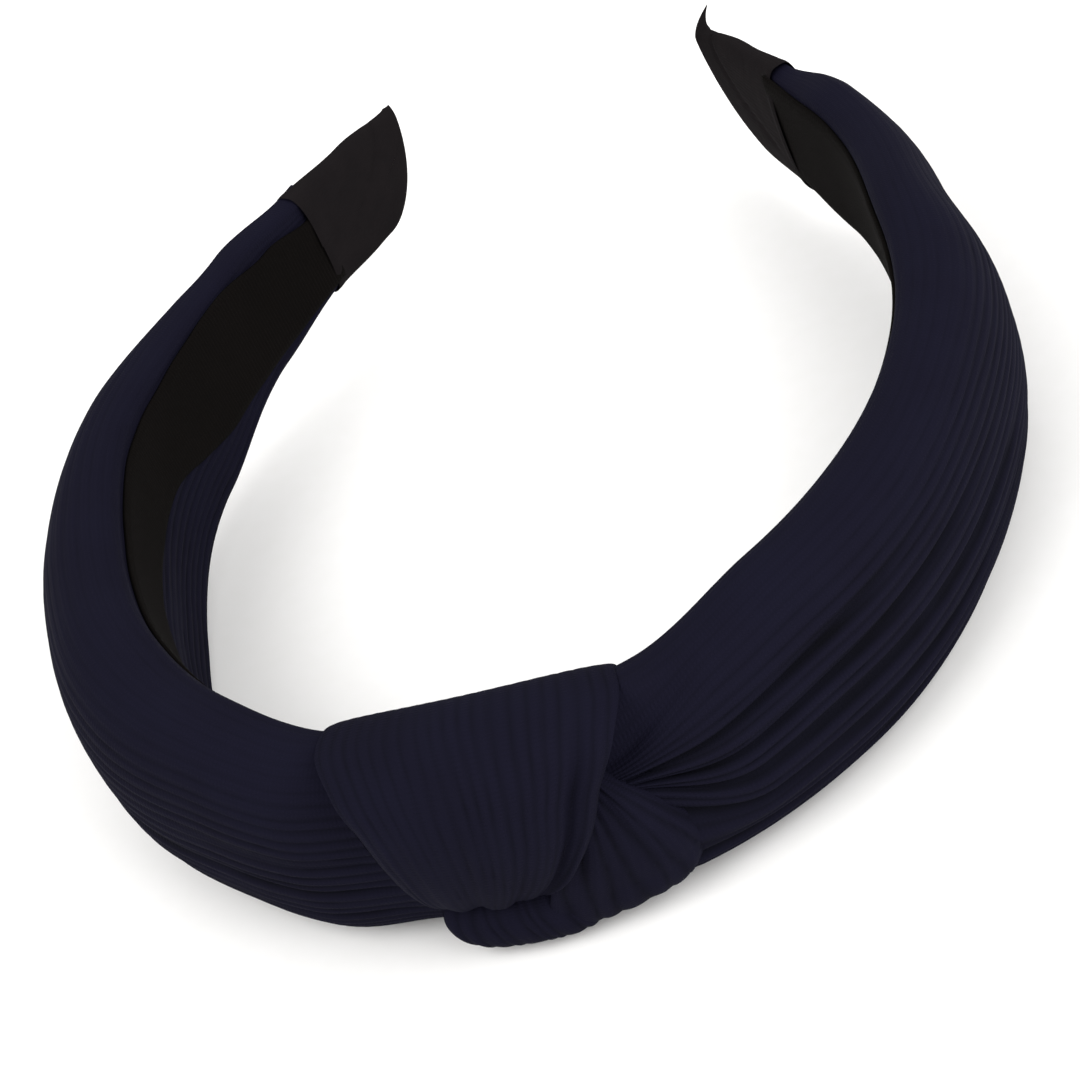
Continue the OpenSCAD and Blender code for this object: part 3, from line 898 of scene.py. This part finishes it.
# Station of the hinge, where an arm's core starts, and how far short of the cap's end the core stops
HINGE = 16
CORE_SHORT = 5
# Half the core's height, and how much of it is lost over the last part of its length
CORE_HALF = 11
CORE_LOSS, CORE_LOSS_OVER = 7, 70


class MakeCore(bpy.types.Operator):
    """Makes the springy core of each arm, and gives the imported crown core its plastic"""
    bl_idname = "headband.core"
    bl_label = "Plastic core"

    def execute(self, context):
        half = context.scene.headband_sizes.core_thickness / MM / 2
        end = band().end - CORE_SHORT
        for side, name in SIDE_NAMES.items():
            def spot(u, v):
                s = HINGE + (end - HINGE) * v
                a = math.pi * (2 * u - 1)
                high = CORE_HALF - max(0, s - (end - CORE_LOSS_OVER)) * CORE_LOSS / CORE_LOSS_OVER
                if s < HINGE + 4:
                    high = min(high, CORE_HALF - 0.5)
                knuckle = 1 + 0.66 * (1 - smooth((s - HINGE) / 3))
                n = half * bulge(math.cos(a), 0.35) * knuckle
                return band().place(side * s, n, high * bulge(math.sin(a), 0.35))

            bm = shaped_grid(48, 110, spot, (0.048, 0.173), closed=True, ends=True)
            piece = new_piece(f"core_{name}_spring", bm)
            finish(piece, finish_named("moulded_abs"))
            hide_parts(f"core_{name}_arm")
            on_arm(piece, side)
        for node, material in (("core_crown", "moulded_abs"), ("knot_glue_pad", "hot_melt_glue")):
            slots = frame["nodes"][node].data.materials
            slots.clear()
            slots.append(finish_named(material))
        return {"FINISHED"}


# Heights of the ribbon's upper and lower edges, by side, as (station, mm) pairs
LINER_TOP = {
    LEFT: ((24, 10), (60, 13.4), (100, 14.8), (142, 13.2), (156, 11), (168, 8.5)),
    RIGHT: ((24, 10), (60, 14.2), (110, 13.8), (150, 11.4), (168, 10)),
}
LINER_LOW = {
    LEFT: ((24, -10), (50, -6), (84, 2.5), (108, 1.2), (134, -5), (168, -4.8)),
    RIGHT: ((24, -10), (60, -13), (110, -14), (150, -11), (168, -10)),
}
# How far out the middle of the ribbon's thickness lies, on an arm and over the crown
LINER_MIDDLE = -2.6
CROWN_MIDDLE = -5.3
LINER_THICKNESS = 0.6
LINER_FROM = 25
CROWN_LINER_TO = 26.5
# The flat cut: the ribbon's length on each arm
LINER_LENGTH = 145


class MakeLiner(bpy.types.Operator):
    """Makes the black ribbon along the inside of the arms and over the crown"""
    bl_idname = "headband.liner"
    bl_label = "Liner ribbon"

    def execute(self, context):
        to = band().cap_from + 0.6
        for side, name in SIDE_NAMES.items():
            def spot(u, v):
                s = LINER_FROM + (to - LINER_FROM) * v
                low, high = ease(s, LINER_LOW[side]), ease(s, LINER_TOP[side])
                wave = 0.25 * noise.noise(Vector((s / 9, 0.0, side + 2))) * abs(2 * u - 1) ** 3
                wave += 0.12 * noise.noise(Vector((s / 25, u * 3, side)))
                edge = 0.3 * smooth((abs(2 * u - 1) - 0.86) / 0.14)
                n = LINER_MIDDLE + 0.3 * wave + edge
                return band().place(side * s, n, low + (high - low) * u + wave)

            bm = shaped_grid(30, 190, spot, (0.026, LINER_LENGTH * MM))
            piece = new_piece(f"liner_{name}_ribbon", bm)
            thicken(piece, LINER_THICKNESS * MM, offset=0)
            finish(piece, finish_named("black_grosgrain"))
            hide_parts(f"liner_{name}")
            on_arm(piece, side)

        def crown_spot(u, v):
            s = CROWN_LINER_TO * (2 * v - 1)
            edge = 0.25 * smooth((abs(2 * u - 1) - 0.9) / 0.1)
            n = CROWN_MIDDLE + edge + 2.2 * smooth((abs(s) - 18.5) / 8)
            return band().place(s, n, -9.8 + 19.2 * u)

        bm = shaped_grid(26, 60, crown_spot, (0.02, 0.053))
        piece = new_piece("liner_crown_ribbon", bm)
        thicken(piece, LINER_THICKNESS * MM, offset=0)
        finish(piece, finish_named("black_grosgrain"))
        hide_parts("liner_crown")
        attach(piece, "crown")
        return {"FINISHED"}


class MakeKnot(bpy.types.Operator):
    """Makes the strands of the knot over the crown"""
    bl_idname = "headband.knot"
    bl_label = "Knot"

    def execute(self, context):
        for node, piece in (
            ("knot_front_loop", strand("knot_front_lobe", LOOP, 20, 120, edge_roll=0.75, depth=0.6)),
            ("knot_under_strand", strand("knot_under_wrap", UNDER, 8, 90, skew=3.0, cells=10, tuck=3.2,
                                         depth=0.8)),
            ("knot_lower_fold", strand("knot_lower_roll", FOLD, 9, 80, skew=-2.0, cells=10, depth=0.7)),
            ("knot_inner_strand", strand("knot_inner_pass", INSIDE, 14, 60)),
            ("knot_back_wrap", strand("knot_back_flat", BACK, 18, 40)),
        ):
            finish(piece, finish_named("navy_rib_knit"))
            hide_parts(node)
            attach(piece, "crown")
        return {"FINISHED"}


# Heights of a cap's lower and upper edges, by side, as (station, mm) pairs
CAP_LOW = {
    LEFT: ((166, -7.1), (180, -8.2), (187, -8.4)),
    RIGHT: ((166, -13.2), (180, -14), (187, -13.2)),
}
CAP_TOP = {
    LEFT: ((166, 13.3), (182, 11.6), (195, 9.8)),
    RIGHT: ((166, 11.6), (180, 9.4), (195, 7)),
}
# How far the point at a cap's upper corner is drawn on along the band, outwards and upwards
CAP_SPIKE = {LEFT: (1.2, 0.6, 0.7), RIGHT: (0.5, 3.0, 3.8)}
# How long the rounded lower corner is
CORNER = {LEFT: 11.0, RIGHT: 12.0}
# How far a cap reaches over the cover, and how much of its mesh comes before the point
CAP_OVER = 1.5
CAP_BODY = 0.84


class MakeTipCaps(bpy.types.Operator):
    """Makes the black ribbon caps folded to a point over each end"""
    bl_idname = "headband.tip_caps"
    bl_label = "Tip caps"

    def execute(self, context):
        start, end = band().cap_from - CAP_OVER, band().end
        for side, name in SIDE_NAMES.items():
            spike_s, spike_n, spike_z = CAP_SPIKE[side]
            corner_from = end - CORNER[side]

            def spot(u, v):
                a = 2 * math.pi * u - math.pi
                t = min(1.0, v / CAP_BODY)
                s = start + (end - start) * (1 - (1 - t) ** 1.35)
                top, low = ease(s, CAP_TOP[side]), ease(s, CAP_LOW[side])
                turned = min(0.9985, max(0.0, (s - corner_from) / (end - corner_from)))
                low += (top - 1.6 - low) * (1 - math.sqrt(1 - turned * turned))
                hem = 0.35 * math.exp(-((s - start - 1) / 1.2) ** 2)
                thick = 3.1 - 1.5 * (s - start) / (end - start) + hem
                half, mid = (top - low) / 2, (top + low) / 2
                n = thick * bulge(math.cos(a), 0.6)
                z = mid + half * bulge(math.sin(a), 0.9)
                crease = math.exp(-((z - low - (s - start) * 0.55 - 3) / 0.8) ** 2)
                crease *= smooth((s - start - 4) / 5)
                n -= math.copysign(0.35 * crease, n) * (abs(n) > 0.5)
                s_here = s + 0.5 * noise.noise(Vector((u * 5, 0.3, side))) * (1 - t)
                if v > CAP_BODY:
                    q = (v - CAP_BODY) / (1 - CAP_BODY)
                    n = n * (1 - q) + spike_n * q * q
                    z = (top - 0.8) + (z - top + 0.8) * (1 - q) + spike_z * q
                    s_here += spike_s * q
                return band().place(side * s_here, n, z)

            bm = shaped_grid(72, 96, spot, (0.052, 0.034), closed=True)
            bmesh.ops.remove_doubles(bm, verts=bm.verts, dist=2e-6)
            piece = new_piece(f"tip_cap_{name}_fold", bm)
            finish(piece, finish_named("black_satin"))
            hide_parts(f"tip_cap_{name}")
            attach(piece, f"{name}_arm")
        return {"FINISHED"}


# The drop of glue starts this far before the band's end, and is this long, thick and high
DROP_BACK, DROP_LENGTH = 4.7, 1.6
DROP_THICK, DROP_HIGH = 0.75, 2.6


class MakeTipGlue(bpy.types.Operator):
    """Makes the drop of glue that holds each tip cap on the core"""
    bl_idname = "headband.tip_glue"
    bl_label = "Tip glue"

    def execute(self, context):
        for side, name in SIDE_NAMES.items():
            start = band().end - DROP_BACK
            middle = (ease(180, CAP_TOP[side]) + ease(180, CAP_LOW[side])) / 2

            def spot(u, v):
                a, t = 2 * math.pi * u, 2 * v - 1
                fat = math.sqrt(max(0.02, 1 - t * t))
                fat *= 1 + 0.12 * noise.noise(Vector((4 * u, 3 * v, side)))
                return band().place(side * (start + DROP_LENGTH * v), DROP_THICK * fat * math.cos(a),
                                    middle + DROP_HIGH * fat * math.sin(a))

            bm = shaped_grid(28, 12, spot, (0.012, 0.002), closed=True, ends=True)
            piece = new_piece(f"tip_glue_{name}_drop", bm)
            finish(piece, finish_named("hot_melt_glue"))
            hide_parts(f"tip_glue_{name}")
            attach(piece, f"{name}_arm")
        return {"FINISHED"}


# Thickness of the thread and length of a stitch, in metres
THREAD = 0.5 * MM
STITCH = 3 * MM
# How far apart the stitches are, how far out the seam's lie, and how far out and how high the tacks lie
SEAM_STEP, TACK_STEP = 9, 6
SEAM_THREAD = -2.1
TACK_THREAD = (-4.75, 10.4)


def stitch(where, along, bow):
    """One thread stitch: a short bowed tube whose ends dip into the cloth."""
    side_way = bow.cross(along).normalized()

    def spot(u, v):
        a, t = 2 * math.pi * u, 2 * v - 1
        r = THREAD / 2 * (1 - 0.5 * t ** 6)
        r *= 1 + 0.12 * math.cos(3 * a + 9 * t)
        rise = THREAD * (0.6 * (1 - t * t) - 0.5)
        across = bow * (rise + r * math.cos(a)) + side_way * (r * math.sin(a))
        return where + along * (STITCH / 2 * t) + across

    return shaped_grid(10, 14, spot, (0.0016, STITCH), closed=True, ends=True)


def joined(name, parts):
    """One piece of several small shapes."""
    whole = bmesh.new()
    for part in parts:
        mesh = bpy.data.meshes.new("part")
        part.to_mesh(mesh)
        part.free()
        whole.from_mesh(mesh)
        bpy.data.meshes.remove(mesh)
    return new_piece(name, whole)


class MakeStitches(bpy.types.Operator):
    """Makes the seam stitches under the liner and the tack stitches behind the knot"""
    bl_idname = "headband.stitches"
    bl_label = "Stitches"

    def execute(self, context):
        for side, name in SIDE_NAMES.items():
            parts = []
            for s in range(39, 157, SEAM_STEP):
                out = band().station(side * s)[2]
                inwards = -Vector((out.x, out.y, 0))
                along = Vector((-out.y, out.x, 0))
                under = (ease(s, LINER_LOW[side]) + ease(s, LINER_TOP[side])) / 2
                parts.append(stitch(band().place(side * s, SEAM_THREAD, under), along, inwards))
            piece = joined(f"seam_{name}_thread", parts)
            finish(piece, finish_named("polyester_thread"))
            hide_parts(f"seam_stitches_{name}")
            on_arm(piece, side)
        parts = []
        for s in range(-15, 16, TACK_STEP):
            out = band().station(s)[2]
            inwards = -Vector((out.x, out.y, 0))
            along = (Vector((-out.y, out.x, 0)) * 0.8 + Vector((0, 0, 0.6))).normalized()
            parts.append(stitch(band().place(s, *TACK_THREAD), along, inwards))
        piece = joined("knot_tack_thread", parts)
        finish(piece, finish_named("polyester_thread"))
        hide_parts("knot_tack_stitches")
        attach(piece, "crown")
        return {"FINISHED"}


# Where the camera stands: its height angle, its turn round the object, its tilt, its distance and lens, and
# the place that it would look at if it weren't moved sideways, in mm
CAMERA = {"rise": 39.5, "turn": 20, "tilt": 26.4, "distance": 408.5, "lens": 94,
          "shift_x": -8.9, "shift_y": -24.2, "aim": (0, -4, 12.7)}


# Name, place and size in metres, and power in watts
LIGHTS = (
    ("key_light", (-0.45, -0.5, 0.8), 0.7, 5.5), ("fill_light", (0.7, -0.3, 0.5), 0.8, 6.5),
    ("back_light", (-0.3, 0.8, 0.8), 0.8, 1.5),
)
FLOOR_HALF = 3.0
WORLD_STRENGTH = 0.9


class BuildStage(bpy.types.Operator):
    """Makes the floor, the soft lights and the camera"""
    bl_idname = "headband.stage"
    bl_label = "Stage"

    def execute(self, context):
        scene = context.scene
        bm = bmesh.new()
        bmesh.ops.create_grid(bm, x_segments=24, y_segments=24, size=FLOOR_HALF)
        floor = new_piece("paper_floor", bm)
        floor.data.materials.append(finish_named("white_paper"))
        world = bpy.data.worlds.new("soft_white")
        world.use_nodes = True
        background = world.node_tree.nodes["Background"]
        background.inputs["Color"].default_value = linear("#FFFFFF")
        background.inputs["Strength"].default_value = WORLD_STRENGTH
        scene.world = world
        scene.view_settings.view_transform = "Standard"
        for name, place, size, power in LIGHTS:
            lamp = bpy.data.lights.new(name, "AREA")
            lamp.size, lamp.energy = size, power
            light = bpy.data.objects.new(name, lamp)
            light.location = place
            light.rotation_euler = (-Vector(place)).to_track_quat("-Z", "Y").to_euler()
            scene.collection.objects.link(light)
        rise, tilt = math.radians(CAMERA["rise"]), math.radians(CAMERA["tilt"])
        around = Matrix.Rotation(math.radians(CAMERA["turn"]), 3, "Z")
        across = around @ Vector((1, 0, 0))
        up = around @ Vector((0, math.sin(rise), math.cos(rise)))
        back = around @ Vector((0, -math.cos(rise), math.sin(rise)))
        stand = around @ Vector((CAMERA["shift_x"], CAMERA["shift_y"], 0)) + back * CAMERA["distance"]
        stand = (stand + Vector(CAMERA["aim"])) * MM
        right = math.cos(tilt) * across - math.sin(tilt) * up
        above = math.sin(tilt) * across + math.cos(tilt) * up
        lens = bpy.data.cameras.new("camera")
        lens.sensor_width = 36
        lens.lens = CAMERA["lens"]
        lens.clip_start = 0.01
        camera = bpy.data.objects.new("camera", lens)
        camera.matrix_world = Matrix((
            (right.x, above.x, back.x, stand.x), (right.y, above.y, back.y, stand.y),
            (right.z, above.z, back.z, stand.z), (0, 0, 0, 1)))
        scene.collection.objects.link(camera)
        scene.camera = camera
        return {"FINISHED"}


class HeadbandPanel(bpy.types.Panel):
    """Lists the pieces of the headband"""
    bl_idname = "VIEW3D_PT_headband"
    bl_label = "Knotted headband"
    bl_space_type = "VIEW_3D"
    bl_region_type = "UI"
    bl_category = "Headband"

    def draw(self, context):
        scene = context.scene
        for group in (scene.headband_sizes, scene.headband_colours):
            box = self.layout.box()
            for key in group.__annotations__:
                box.prop(group, key)
        for operator in OPERATORS:
            self.layout.operator(operator.bl_idname)


OPERATORS = (BuildStage, SettleCovers, MakePadding, MakeCore, MakeLiner, MakeKnot, MakeTipCaps, MakeTipGlue,
             MakeStitches)
CLASSES = (HeadbandSizes, HeadbandColours, *OPERATORS, HeadbandPanel)


def register():
    for cls in CLASSES:
        bpy.utils.register_class(cls)
    bpy.types.Scene.headband_sizes = PointerProperty(type=HeadbandSizes)
    bpy.types.Scene.headband_colours = PointerProperty(type=HeadbandColours)


def unregister():
    del bpy.types.Scene.headband_colours
    del bpy.types.Scene.headband_sizes
    for cls in reversed(CLASSES):
        bpy.utils.unregister_class(cls)


def main():
    register()
    for operator in OPERATORS:
        group, name = operator.bl_idname.split(".")
        getattr(getattr(bpy.ops, group), name)()


if __name__ == "__main__":
    main()
